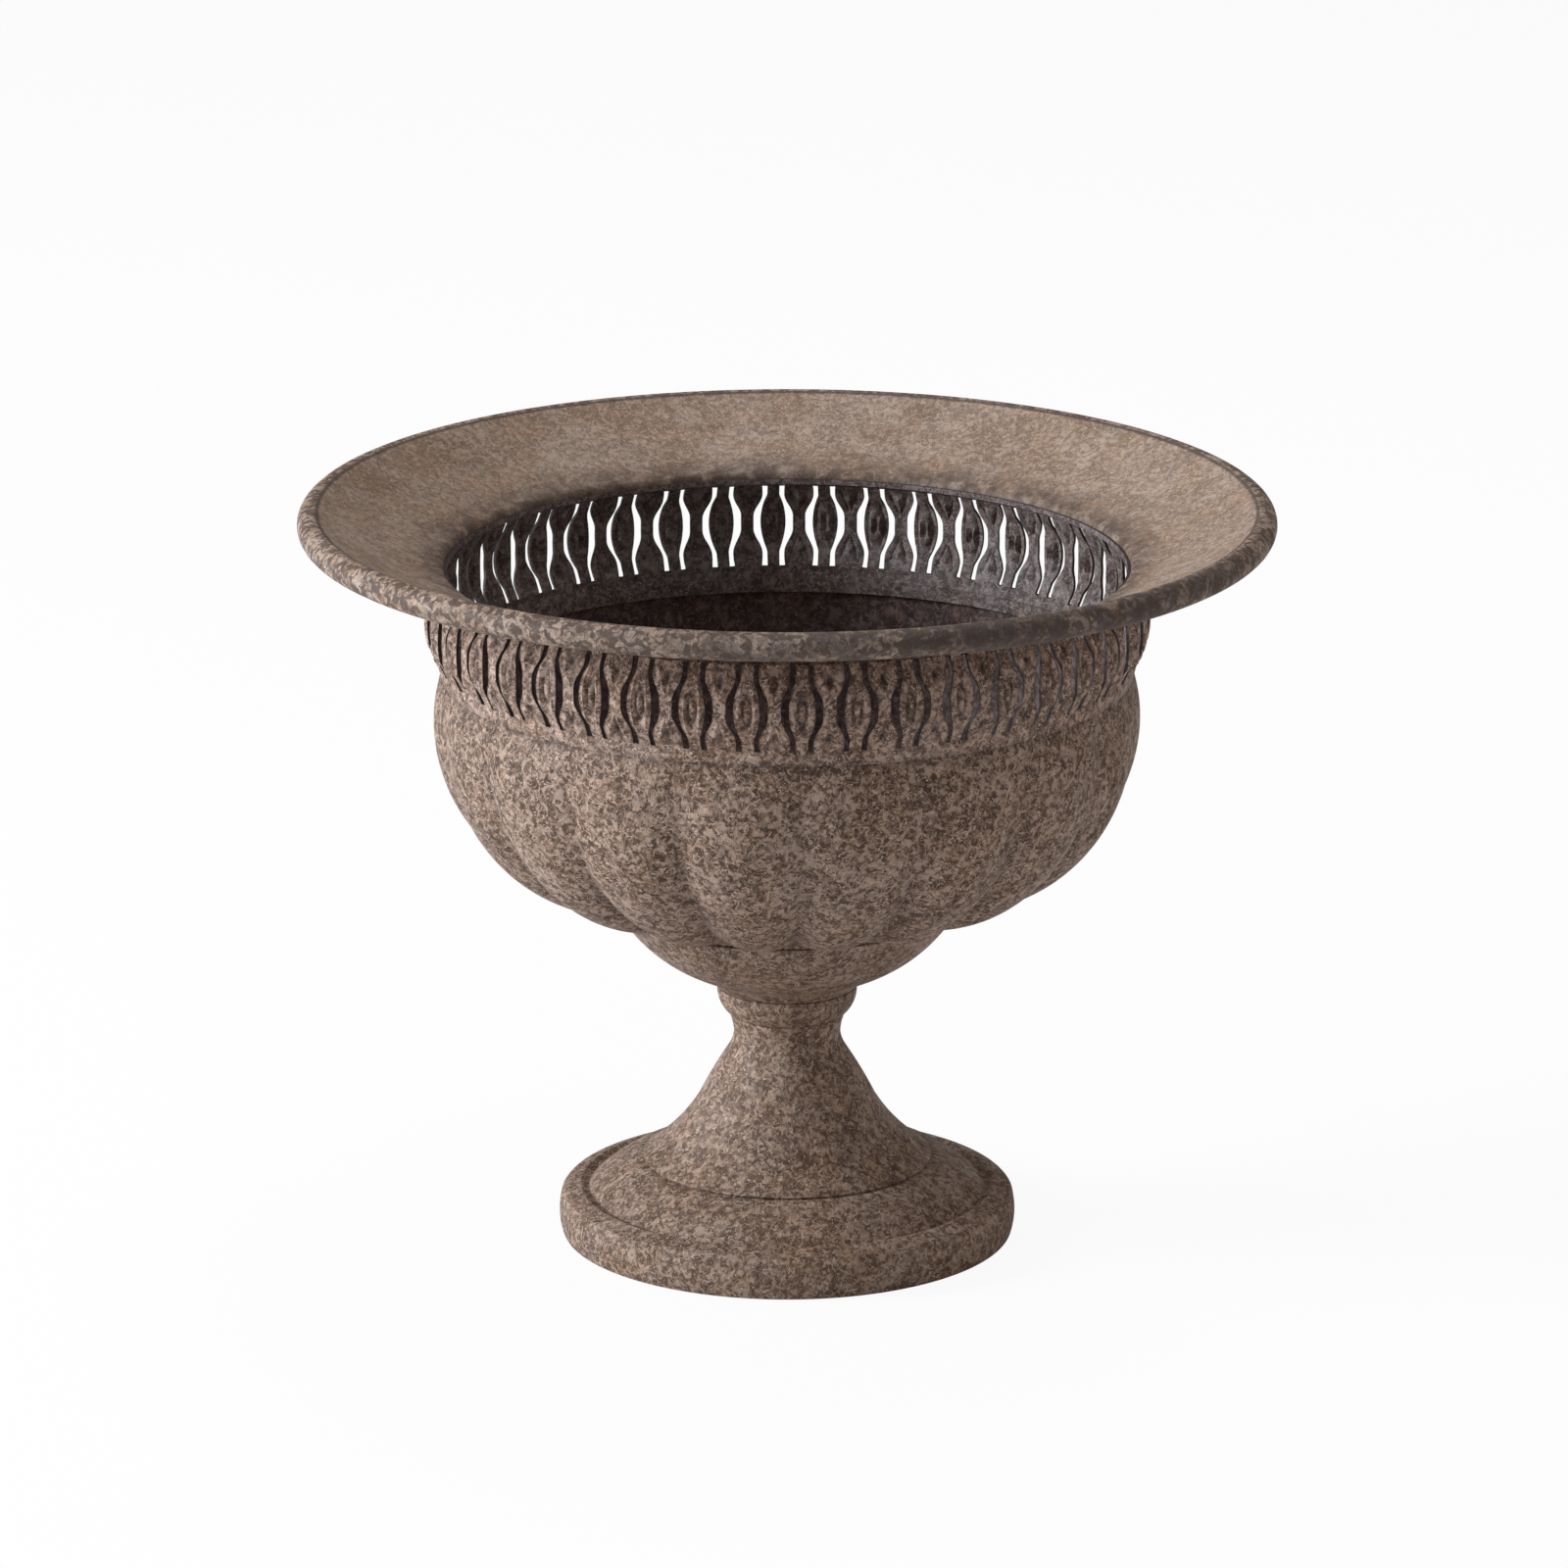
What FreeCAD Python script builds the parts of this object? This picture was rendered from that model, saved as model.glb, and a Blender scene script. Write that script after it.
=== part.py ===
import FreeCAD, Part
import Sketcher
import os
import re
from math import acos, atan2, ceil, copysign, cos, degrees, pi, sin, sqrt

# A pedestal urn planter of pressed and spun sheet steel. The Z axis is the axis of the urn, the
# floor is at zero height, and the front, with a groove of the bowl and a pair of slots, is at -Y.

os.makedirs("parts", exist_ok=True)
doc = FreeCAD.newDocument("urn_planter")

# Driving dimensions in millimetres, degrees and counts. A rise is a height above the feature
# before it, an inset is a step towards the axis, a bulge is the rise of an arc over its chord.
SIZES = {
    "sheet_gauge": 1.2,
    "lap_gap": 0.1,
    "chord_rise": 0.35,
    # foot ring
    "foot_radius": 94.4,
    "foot_base_inset": 0.6,
    "foot_hem": 6.5,
    "hem_bend": 1.4,
    "skirt_rise": 12.8,
    "skirt_bulge": 0.8,
    "brow_inset": 3.4,
    "brow_rise": 4.0,
    "brow_bulge": 1.1,
    "ridge_inset": 5.0,
    "ridge_rise": 1.8,
    "groove_inset": 3.7,
    "groove_drop": 1.3,
    "ogee_inset": 20.9,
    "ogee_rise": 13.2,
    "ogee_bulge": 1.4,
    "shoulder_inset": 2.0,
    "lap_angle": 36.0,
    "foot_lap": 7.0,
    # stem
    "stem_lap": 6.0,
    "flare_rise": 21.0,
    "flare_hollow": 1.2,
    "cone_radius": 37.0,
    "cone_rise": 22.0,
    "cone_bulge": 0.4,
    "cone_top_radius": 24.4,
    "neck_rise": 6.5,
    "neck_hollow": 0.4,
    "neck_radius": 22.1,
    "collar_rise": 8.5,
    "collar_hollow": 0.3,
    "collar_radius": 23.4,
    "collar_land": 1.5,
    # knop
    "knop_height": 12.0,
    "knop_radius": 29.0,
    "knop_bulge": 1.7,
    # lower cup
    "cup_base_inset": 0.6,
    "cup_neck_rise": 7.0,
    "cup_neck_flare": 9.6,
    "cup_neck_hollow": 0.6,
    "cup_wall_rise": 29.4,
    "cup_rim_radius": 72.0,
    "cup_bulge": 3.9,
    # lobed bowl
    "lobe_count": 18,
    "bowl_swell": 3.2,
    "bowl_round_radius": 63.0,
    "bowl_depth": 78.5,
    "bowl_shoulder_rise": 20.0,
    "waist_radius": 142.3,
    "groove_depth": 6.0,
    # pierced band
    "spigot_rise": 4.5,
    "margin_rise": 6.2,
    "margin_flare": 1.6,
    "slot_length": 36.0,
    "band_bulge": 5.0,
    "top_flare": 3.2,
    "top_taper_rise": 1.2,
    "top_margin": 1.4,
    "motif_count": 42,
    "slot_tip_length": 5.7,
    "slot_waist_length": 8.0,
    "slot_tip_offset": 2.6,
    "slot_tip_width": 2.1,
    "slot_waist_offset": 5.3,
    "slot_waist_width": 3.1,
    # rim flange
    "flange_collar": 0.8,
    "throat_drop": 0.4,
    "throat_bend": 3.5,
    "throat_turn": 72.0,
    "rim_radius": 200.7,
    "rim_rise": 25.3,
    "flange_hollow": 1.6,
    "lip_radius": 5.9,
    "crease_angle": 120.0,
    "lip_end_angle": 165.0,
    # centre bolt and what it clamps
    "bolt_diameter": 8.0,
    "bolt_hole_gap": 0.3,
    "bolt_head_flats": 13.0,
    "bolt_head_height": 5.3,
    "bolt_overrun": 3.0,
    "corner_angle": 30.0,
    "thread_gap": 0.05,
    "plate_thickness": 2.0,
    "plate_gap": 0.15,
    "seal_diameter": 34.0,
    "seal_thickness": 2.0,
    "bowl_washer_diameter": 30.0,
    "bowl_washer_thickness": 2.0,
    "stem_washer_diameter": 24.0,
    "stem_washer_thickness": 2.0,
    "lock_washer_diameter": 14.8,
    "lock_washer_thickness": 2.0,
    "lock_washer_split": 1.5,
    "nut_height": 6.5,
}

sizes = doc.addObject("Spreadsheet::Sheet", "sizes")
for row, (name, value) in enumerate(SIZES.items(), start=1):
    sizes.set(f"A{row}", name)
    sizes.set(f"B{row}", str(value))
    sizes.setAlias(f"B{row}", name)
doc.recompute()


ORIGIN = FreeCAD.Vector(0, 0, 0)
UP = FreeCAD.Vector(0, 0, 1)
FRONT = -90
SEAM = 0.001


def bound(text):
    """The text as an expression of the document, with every named size read from the sheet."""
    return re.sub(r"[a-z]+(?:_[a-z]+)+", lambda match: "sizes." + match.group(), text)


def value_of(text):
    """The number that an expression of named sizes has now."""
    result = sizes.evalExpression(bound(text))
    return float(getattr(result, "Value", result))


# Levels where one piece stands on the next.
SHOULDER_Z = "(hem_bend + skirt_rise + brow_rise + ridge_rise - groove_drop + ogee_rise)"
SHOULDER_R = "(foot_radius - brow_inset - ridge_inset - groove_inset - ogee_inset)"
LAP_Z = f"({SHOULDER_Z} + (sheet_gauge + lap_gap) * cos(lap_angle * 1deg))"
FLARE_Z = f"({LAP_Z} + stem_lap * sin(lap_angle * 1deg))"
NECK_Z = f"({FLARE_Z} + flare_rise + cone_rise + neck_rise)"
STEM_TOP_Z = f"({NECK_Z} + collar_rise)"
KNOP_TOP_Z = f"({STEM_TOP_Z} + knop_height)"
CUP_RIM_Z = f"({KNOP_TOP_Z} + cup_neck_rise + cup_wall_rise)"
BOWL_FLOOR_Z = f"({KNOP_TOP_Z} + 2 * sheet_gauge + lap_gap)"
WIDEST_Z = f"({CUP_RIM_Z} + bowl_depth)"
WAIST_Z = f"({WIDEST_Z} + bowl_shoulder_rise)"
SLOT_FOOT_Z = f"({WAIST_Z} + lap_gap + margin_rise)"
SLOT_HEAD_Z = f"({SLOT_FOOT_Z} + slot_length)"
BAND_TOP_Z = f"({SLOT_HEAD_Z} + top_taper_rise + top_margin)"
BAND_TOP_R = "(waist_radius + margin_flare - top_flare)"
BOLT_HOLE_R = "(bolt_diameter / 2 + bolt_hole_gap)"


def chain_sketch(label, corners, closed=False):
    """A line of straights and arcs on the XZ plane. Each corner is (radius, height), or with the
    bulge of the arc that arrives there, positive to the left of the way along the chain."""
    sketch = doc.addObject("Sketcher::SketchObject", label)
    sketch.Placement = FreeCAD.Placement(
        FreeCAD.Vector(0, 0, 0), FreeCAD.Rotation(FreeCAD.Vector(1, 0, 0), 90)
    )
    here = FreeCAD.Vector(value_of(corners[0][0]), value_of(corners[0][1]), 0)
    last_end = None
    for index, corner in enumerate(corners[1:]):
        there = FreeCAD.Vector(value_of(corner[0]), value_of(corner[1]), 0)
        bulge = value_of(corner[2]) if len(corner) == 3 else 0
        if bulge == 0:
            sketch.addGeometry(Part.LineSegment(here, there))
        else:
            sketch.addGeometry(arc_over_chord(here, there, bulge))
        start, end = (2, 1) if bulge > 0 else (1, 2)
        if last_end is None:
            tie_point(sketch, index, start, corners[0])
        else:
            sketch.addConstraint(Sketcher.Constraint("Coincident", index - 1, last_end, index, start))
        tie_point(sketch, index, end, corner)
        if bulge != 0:
            tie_radius(sketch, index, corners[index], corner)
        here, last_end = there, end
    if closed:
        first = FreeCAD.Vector(value_of(corners[0][0]), value_of(corners[0][1]), 0)
        sketch.addGeometry(Part.LineSegment(here, first))
        last = len(corners) - 1
        sketch.addConstraint(Sketcher.Constraint("Coincident", last - 1, last_end, last, 1))
        sketch.addConstraint(Sketcher.Constraint("Coincident", last, 2, 0, 1))
    doc.recompute()
    return sketch


def arc_over_chord(here, there, bulge):
    """The arc from here to there that rises by the bulge to the left of its chord."""
    chord = there - here
    side = FreeCAD.Vector(-chord.y, chord.x, 0).normalize()
    radius = (chord.Length ** 2 / 4 + bulge ** 2) / (2 * abs(bulge))
    centre = (here + there) / 2 + side * (bulge - copysign(radius, bulge))
    first, last = (there, here) if bulge > 0 else (here, there)
    first_angle = atan2(first.y - centre.y, first.x - centre.x)
    last_angle = atan2(last.y - centre.y, last.x - centre.x)
    if last_angle < first_angle:
        last_angle += 2 * pi
    circle = Part.Circle(centre, FreeCAD.Vector(0, 0, 1), radius)
    return Part.ArcOfCircle(circle, first_angle, last_angle)


def tie_point(sketch, index, point, corner):
    """Holds one end of a line or arc at a radius and a height given by named sizes."""
    for axis, text in zip(("DistanceX", "DistanceY"), corner[:2]):
        number = value_of(text)
        name = sketch.addConstraint(Sketcher.Constraint(axis, -1, 1, index, point, number))
        sketch.setExpression(f"Constraints[{name}]", bound(text))


def tie_radius(sketch, index, start, corner):
    """Gives an arc the radius that its chord and its bulge ask for."""
    chord = f"hypot(({corner[0]}) - ({start[0]}); ({corner[1]}) - ({start[1]}))"
    radius = f"(({chord}) ^ 2 / 4 + ({corner[2]}) ^ 2) / (2 * abs({corner[2]}))"
    name = sketch.addConstraint(Sketcher.Constraint("Radius", index, value_of(radius)))
    sketch.setExpression(f"Constraints[{name}]", bound(radius))


def chorded(section):
    """The section with each arc as a few equal chords, none further off the arc than the rise."""
    chord_rise = value_of("chord_rise")
    outline = section.Shape.Wires[0]
    points = []
    for start, edge in zip(outline.OrderedVertexes, outline.OrderedEdges):
        steps = 1
        if isinstance(edge.Curve, Part.Circle):
            radius = edge.Curve.Radius
            steps = ceil(edge.Length / radius / (2 * acos(1 - chord_rise / radius)))
        stretch = edge.discretize(Number=steps + 1)
        if stretch[0].distanceToPoint(start.Point) > SEAM:
            stretch.reverse()
        points.extend(stretch[:-1])
    points.append(stretch[-1])
    line = doc.addObject("Part::Feature", section.Label + "_line")
    line.Shape = Part.makePolygon(points)
    return line


def parallel(label, source, distance, fill):
    """The line that runs beside an open section, or with fill the wall between the two."""
    line = doc.addObject("Part::Offset2D", label)
    line.Source = source
    line.Mode = "Skin"
    line.Join = "Intersection"
    line.Fill = fill
    line.setExpression("Value", bound(distance))
    doc.recompute()
    return line


def spun_sheet(label, corners, gauge):
    """A sheet spun to a half-section: the chain is its shown face, and a positive gauge lies to
    the left of the way along the chain."""
    section = chorded(chain_sketch(label + "_section", corners))
    spun = doc.addObject("Part::Revolution", label)
    spun.Source = parallel(label + "_wall", section, gauge, True)
    spun.Axis = (0, 0, 1)
    spun.Angle = 360
    spun.Solid = True
    doc.recompute()
    return spun


# Foot ring: one pressing, from the hem that lies on the floor over the skirt, the brow, the
# ridge with its groove and the ogee to the lap that carries the stem.
HEM_R = "(foot_radius - foot_base_inset)"
LAP_R = f"({SHOULDER_R} - shoulder_inset)"
foot_ring = spun_sheet("foot_ring", [
    (f"{HEM_R} - foot_hem", "0"),
    (f"{HEM_R} - hem_bend", "0"),
    (HEM_R, "hem_bend", "-hem_bend * (1 - cos(45deg))"),
    ("foot_radius", "hem_bend + skirt_rise", "-skirt_bulge"),
    ("foot_radius - brow_inset", "hem_bend + skirt_rise + brow_rise", "-brow_bulge"),
    ("foot_radius - brow_inset - ridge_inset", "hem_bend + skirt_rise + brow_rise + ridge_rise"),
    (f"{SHOULDER_R} + ogee_inset", f"{SHOULDER_Z} - ogee_rise"),
    (SHOULDER_R, SHOULDER_Z, "-ogee_bulge"),
    (LAP_R, SHOULDER_Z),
    (f"{LAP_R} - foot_lap * cos(lap_angle * 1deg)", f"{SHOULDER_Z} + foot_lap * sin(lap_angle * 1deg)"),
], "sheet_gauge")

# Stem: a spun trumpet. Its foot is a short cone that laps on the foot ring, and its top a
# straight collar round the stem plate.
STEM_FOOT_R = f"({LAP_R} + (sheet_gauge + lap_gap) * sin(lap_angle * 1deg))"
stem = spun_sheet("stem", [
    (STEM_FOOT_R, LAP_Z),
    (f"{STEM_FOOT_R} - stem_lap * cos(lap_angle * 1deg)", FLARE_Z),
    ("cone_radius", f"{FLARE_Z} + flare_rise", "flare_hollow"),
    ("cone_top_radius", f"{NECK_Z} - neck_rise", "-cone_bulge"),
    ("neck_radius", NECK_Z, "neck_hollow"),
    ("collar_radius", f"{STEM_TOP_Z} - collar_land", "collar_hollow"),
    ("collar_radius", STEM_TOP_Z),
], "sheet_gauge")

# Knop: a hollow spun bead with a flat floor and a flat top, both bored for the centre bolt.
knop = spun_sheet("knop", [
    (BOLT_HOLE_R, STEM_TOP_Z),
    ("collar_radius + lap_gap", STEM_TOP_Z),
    ("knop_radius", KNOP_TOP_Z, "-knop_bulge"),
    (BOLT_HOLE_R, KNOP_TOP_Z),
], "sheet_gauge")

# Lower cup: a spun calyx, flat on the knop, hollow at its neck and round up to its rim.
cup_corners = [
    (BOLT_HOLE_R, KNOP_TOP_Z),
    ("knop_radius - cup_base_inset", KNOP_TOP_Z),
    ("knop_radius + cup_neck_flare", f"{KNOP_TOP_Z} + cup_neck_rise", "cup_neck_hollow"),
    ("cup_rim_radius", CUP_RIM_Z, "-cup_bulge"),
]
lower_cup = spun_sheet("lower_cup", cup_corners, "sheet_gauge")

# Pierced band: a spigot in the mouth of the bowl, a step on its edge, a plain margin, the round
# pierced part and a straight margin inside the collar of the rim.
WALL_STEP = "(sheet_gauge + lap_gap)"
band_section = chorded(chain_sketch("pierced_band_section", [
    (f"waist_radius - {WALL_STEP}", f"{WAIST_Z} - spigot_rise"),
    (f"waist_radius - {WALL_STEP}", f"{WAIST_Z} + lap_gap"),
    ("waist_radius", f"{WAIST_Z} + lap_gap"),
    ("waist_radius + margin_flare", SLOT_FOOT_Z),
    ("waist_radius + margin_flare", SLOT_HEAD_Z, "-band_bulge"),
    (BAND_TOP_R, f"{SLOT_HEAD_Z} + top_taper_rise"),
    (BAND_TOP_R, BAND_TOP_Z),
]))
band_wall = parallel("pierced_band_wall", band_section, "sheet_gauge", True)


def is_side_cut(face, pitch):
    """Whether a face is one of the two flat sides of the front strip of a ring."""
    middle = face.CenterOfMass
    turn = abs(degrees(atan2(middle.x, -middle.y)))
    return isinstance(face.Surface, Part.Plane) and abs(turn - pitch / 2) < 1e-4


def ring_solid(strip_faces, count):
    """The closed solid whose skin is the faces of one strip, repeated round the axis."""
    skin = Part.makeCompound([
        face.rotated(ORIGIN, UP, strip * 360 / count) for strip in range(count) for face in strip_faces
    ])
    skin.sewShape(SEAM)
    solid = Part.Solid(skin.Shells[0])
    if solid.Volume < 0:
        solid.reverse()
    return solid.removeSplitter()


# One motif of the band is a pair of bowed slots, punched straight in from the front. The band
# is that motif repeated, each with its own strip of the wall.
SLOT_MIDDLE_Z = f"({SLOT_FOOT_Z} + slot_length / 2)"


def slot_corners(side):
    """The outline of one slot, on the right of its pair for side 1 and on the left for -1."""
    tip, waist = "slot_tip_offset", "slot_waist_offset"
    bow = f"{side} * (slot_tip_offset - slot_waist_offset)"
    outline = [
        (tip, "-slot_length / 2"),
        (tip, "slot_tip_length - slot_length / 2"),
        (tip, "slot_length / 2 - slot_tip_length", bow),
        (tip, "slot_length / 2"),
        (f"{tip} + slot_tip_width", "slot_length / 2"),
        (f"{tip} + slot_tip_width", "slot_length / 2 - slot_tip_length"),
        (f"{waist} + slot_waist_width", "slot_waist_length / 2"),
        (f"{waist} + slot_waist_width", "-slot_waist_length / 2"),
        (f"{tip} + slot_tip_width", "slot_tip_length - slot_length / 2"),
        (f"{tip} + slot_tip_width", "-slot_length / 2"),
    ]
    return [(f"{side} * ({x})", f"{SLOT_MIDDLE_Z} + ({z})", *rest) for x, z, *rest in outline]


slot_punches = []
for side, label in ((1, "right_slot"), (-1, "left_slot")):
    punch = doc.addObject("Part::Extrusion", label + "_punch")
    punch.Base = chorded(chain_sketch(label, slot_corners(side), closed=True))
    punch.DirMode = "Custom"
    punch.Dir = (0, -1, 0)
    punch.Solid = True
    punch.setExpression("LengthFwd", bound("waist_radius + margin_flare + 2 * band_bulge"))
    slot_punches.append(punch)
doc.recompute()

motif_count = int(value_of("motif_count"))
motif_pitch = 360 / motif_count
motif_strip = band_wall.Shape.Faces[0].rotated(ORIGIN, UP, FRONT - motif_pitch / 2)
motif_strip = motif_strip.revolve(ORIGIN, UP, motif_pitch)
motif_strip = motif_strip.cut([punch.Shape for punch in slot_punches])
motif_faces = [face for face in motif_strip.Faces if not is_side_cut(face, motif_pitch)]
pierced_band = doc.addObject("Part::Feature", "pierced_band")
pierced_band.Shape = ring_solid(motif_faces, motif_count)

# Lobed bowl: one drawn pressing. Its well lies in the cup, its wall is part of an ellipse that
# ends at the waist, and the grooves between the lobes die out at both ends of the wall. The
# skin is flat facets between rows of points, one gore of it repeated round the axis.
WALL_SHARES = [0.04, 0.1, 0.2, 0.35, 0.5, 0.65, 0.8, 0.9, 1]
LOBE_SHARES = [-1, -0.5, 0, 0.5, 1]
ROUND_SHARE = 0.8

well_face = parallel("well_face", doc.getObject("lower_cup_section_line"), WALL_STEP, False)
well_lining = parallel("well_lining", well_face, "sheet_gauge", False)

lobe_count = int(value_of("lobe_count"))
lobe_pitch = 360 / lobe_count
groove_depth = value_of("groove_depth")
round_r = value_of("bowl_round_radius")
widest_r = value_of("waist_radius + bowl_swell")
widest_z = value_of(WIDEST_Z)
well_edge = max((vertex.Point for vertex in well_face.Shape.Vertexes), key=lambda point: point.x)
edge_reach = (well_edge.x - round_r) / (widest_r - round_r)
ellipse_drop = (widest_z - well_edge.z) / sqrt(1 - edge_reach ** 2)
shoulder_rise = value_of("bowl_shoulder_rise")
bowl_swell = value_of("bowl_swell")


def crest(share):
    """The crest of a lobe at a share of the way from the well to the waist, and its normal."""
    if share < ROUND_SHARE:
        turn = acos(edge_reach) * (1 - share / ROUND_SHARE)
        reach = widest_r - round_r
        point = FreeCAD.Vector(round_r + reach * cos(turn), 0, widest_z - ellipse_drop * sin(turn))
        normal = FreeCAD.Vector(cos(turn) / reach, 0, -sin(turn) / ellipse_drop)
    else:
        climb = (share - ROUND_SHARE) / (1 - ROUND_SHARE)
        point = FreeCAD.Vector(widest_r - bowl_swell * climb ** 2, 0, widest_z + shoulder_rise * climb)
        normal = FreeCAD.Vector(shoulder_rise, 0, 2 * bowl_swell * climb)
    return point, normal.normalize()


def groove_share(share):
    """The depth of a groove there, as a share of its full depth."""
    spread = share ** 0.6
    return 4 * spread * (1 - spread)


def across_gore(place_at):
    """One row of points over a lobe, from groove to groove, each from its place on the XZ plane."""
    row = []
    for across in LOBE_SHARES:
        turn = FreeCAD.Rotation(UP, FRONT + (1 + across) * lobe_pitch / 2)
        row.append(turn.multVec(place_at(across)))
    return row


def gore_rows(well, depth):
    """The rows of one side of the sheet from the bore to the waist, so deep under the crest."""
    line = sorted((vertex.Point for vertex in well.Shape.Vertexes), key=lambda point: point.x)
    rows = [across_gore(lambda across: point) for point in line]
    for share in WALL_SHARES:
        point, normal = crest(share)
        sink = groove_depth * groove_share(share)
        rows.append(across_gore(lambda across: point - normal * (depth + sink * across ** 2)))
    return rows


def facets(rows):
    """Two triangles for each four neighbours in the rows, mirrored about the crest."""
    faces = []
    for low, high in zip(rows, rows[1:]):
        for index in range(len(low) - 1):
            a, b, c, d = low[index], low[index + 1], high[index + 1], high[index]
            halves = ((a, b, c), (a, c, d)) if LOBE_SHARES[index] < 0 else ((a, b, d), (b, c, d))
            faces.extend(Part.Face(Part.makePolygon([*half, half[0]])) for half in halves)
    return faces


outer_rows = gore_rows(well_face, 0)
inner_rows = gore_rows(well_lining, value_of("sheet_gauge"))
lobed_bowl = doc.addObject("Part::Feature", "lobed_bowl")
lobed_bowl.Shape = ring_solid(facets([*outer_rows, *reversed(inner_rows), outer_rows[0]]), lobe_count)

# Rim flange: a collar round the band, a bend at the throat, the flare, and a lip rolled under
# until it meets the flare from below.
LIP_R = "(rim_radius - lip_radius)"
LIP_Z = f"({BAND_TOP_Z} + rim_rise - lip_radius)"
THROAT_R = f"({BAND_TOP_R} + lap_gap)"
THROAT_Z = f"({BAND_TOP_Z} - throat_drop)"
rim_flange = spun_sheet("rim_flange", [
    (THROAT_R, f"{THROAT_Z} - flange_collar"),
    (THROAT_R, THROAT_Z),
    (f"{THROAT_R} + throat_bend * (1 - cos(throat_turn * 1deg))",
     f"{THROAT_Z} + throat_bend * sin(throat_turn * 1deg)",
     "throat_bend * (1 - cos(throat_turn / 2 * 1deg))"),
    (f"{LIP_R} + lip_radius * cos(crease_angle * 1deg)",
     f"{LIP_Z} + lip_radius * sin(crease_angle * 1deg)",
     "-flange_hollow"),
    (f"{LIP_R} + lip_radius * cos(lip_end_angle * 1deg)",
     f"{LIP_Z} + lip_radius * sin(lip_end_angle * 1deg)",
     "lip_radius * (1 - cos((360 + crease_angle - lip_end_angle) / 2 * 1deg))"),
], "-sheet_gauge")


def drum(label, radius, height, base_z):
    """A round blank on the axis."""
    blank = doc.addObject("Part::Cylinder", label)
    blank.setExpression("Radius", bound(radius))
    blank.setExpression("Height", bound(height))
    blank.setExpression("Placement.Base.z", bound(base_z))
    return blank


def boolean(kind, label, base, tool):
    """The cut, common or fuse of two shapes."""
    result = doc.addObject("Part::" + kind, label)
    result.Base = base
    result.Tool = tool
    return result


def washer(label, diameter, thickness, base_z):
    """A flat ring with a clearance hole for the centre bolt."""
    blank = drum(label + "_blank", f"{diameter} / 2", thickness, base_z)
    return boolean("Cut", label, blank, drum(label + "_hole", BOLT_HOLE_R, thickness, base_z))


def hexagon(label, height, base_z, small_end):
    """A hexagon of the bolt, its corners turned off to a cone at the end named small."""
    prism = doc.addObject("Part::Prism", label + "_bar")
    prism.Polygon = 6
    prism.setExpression("Circumradius", bound("bolt_head_flats / sqrt(3)"))
    cone = doc.addObject("Part::Cone", label + "_cone")
    large_end = "Radius1" if small_end == "Radius2" else "Radius2"
    cone.setExpression(small_end, bound("bolt_head_flats / 2"))
    cone.setExpression(large_end, bound(f"bolt_head_flats / 2 + {height} / tan(corner_angle * 1deg)"))
    for blank in (prism, cone):
        blank.setExpression("Height", bound(height))
        blank.setExpression("Placement.Base.z", bound(base_z))
    return boolean("Common", label, prism, cone)


# Centre bolt: its head bears on a washer and a rubber seal over the floor of the bowl.
SEAL_TOP_Z = f"({BOWL_FLOOR_Z} + seal_thickness)"
HEAD_Z = f"({SEAL_TOP_Z} + bowl_washer_thickness)"
PLATE_Z = f"({STEM_TOP_Z} - plate_thickness)"
STEM_WASHER_Z = f"({PLATE_Z} - stem_washer_thickness)"
LOCK_WASHER_Z = f"({STEM_WASHER_Z} - lock_washer_thickness)"
NUT_Z = f"({LOCK_WASHER_Z} - nut_height)"
BOLT_END_Z = f"({NUT_Z} - bolt_overrun)"
bolt_head = hexagon("bolt_head", "bolt_head_height", HEAD_Z, "Radius2")
bolt_shank = drum("bolt_shank", "bolt_diameter / 2", f"{HEAD_Z} - {BOLT_END_Z}", BOLT_END_Z)
boolean("Fuse", "center_bolt", bolt_head, bolt_shank)
washer("seal_washer", "seal_diameter", "seal_thickness", BOWL_FLOOR_Z)
washer("bowl_washer", "bowl_washer_diameter", "bowl_washer_thickness", SEAL_TOP_Z)

# Stem plate: a disc across the collar of the stem, drawn up under the knop by the nut.
washer("stem_plate", "2 * (collar_radius - sheet_gauge - plate_gap)", "plate_thickness", PLATE_Z)
washer("stem_washer", "stem_washer_diameter", "stem_washer_thickness", STEM_WASHER_Z)

# Lock washer: a ring split through one side.
lock_ring = washer("lock_ring", "lock_washer_diameter", "lock_washer_thickness", LOCK_WASHER_Z)
split = doc.addObject("Part::Box", "lock_split")
split.setExpression("Length", bound("lock_washer_diameter"))
split.setExpression("Width", bound("lock_washer_split"))
split.setExpression("Height", bound("lock_washer_thickness"))
split.setExpression("Placement.Base.y", bound("-lock_washer_split / 2"))
split.setExpression("Placement.Base.z", bound(LOCK_WASHER_Z))
boolean("Cut", "lock_washer", lock_ring, split)

# Centre nut, its turned corners away from the lock washer.
nut_bar = hexagon("nut_bar", "nut_height", NUT_Z, "Radius1")
nut_bore = drum("nut_bore", "bolt_diameter / 2 + thread_gap", "nut_height", NUT_Z)
boolean("Cut", "center_nut", nut_bar, nut_bore)

NODES = [
    "foot_ring", "stem", "stem_plate", "knop", "lower_cup", "lobed_bowl", "pierced_band",
    "rim_flange", "center_bolt", "bowl_washer", "seal_washer", "stem_washer", "lock_washer",
    "center_nut",
]

doc.recompute()
for item in doc.Objects:
    if "Invalid" in item.State or "Error" in item.State:
        raise RuntimeError(f"{item.Label} did not rebuild: {item.State}")
for node in NODES:
    shape = doc.getObject(node).Shape
    if shape.isNull() or not shape.isValid():
        raise RuntimeError(f"{node} is not a sound solid")
    shape.exportStep(f"parts/{node}.step")
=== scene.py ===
from math import acos, atan, ceil, cos, exp, hypot, pi, radians, sin, sqrt

import bpy
from mathutils import Matrix, Vector


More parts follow.
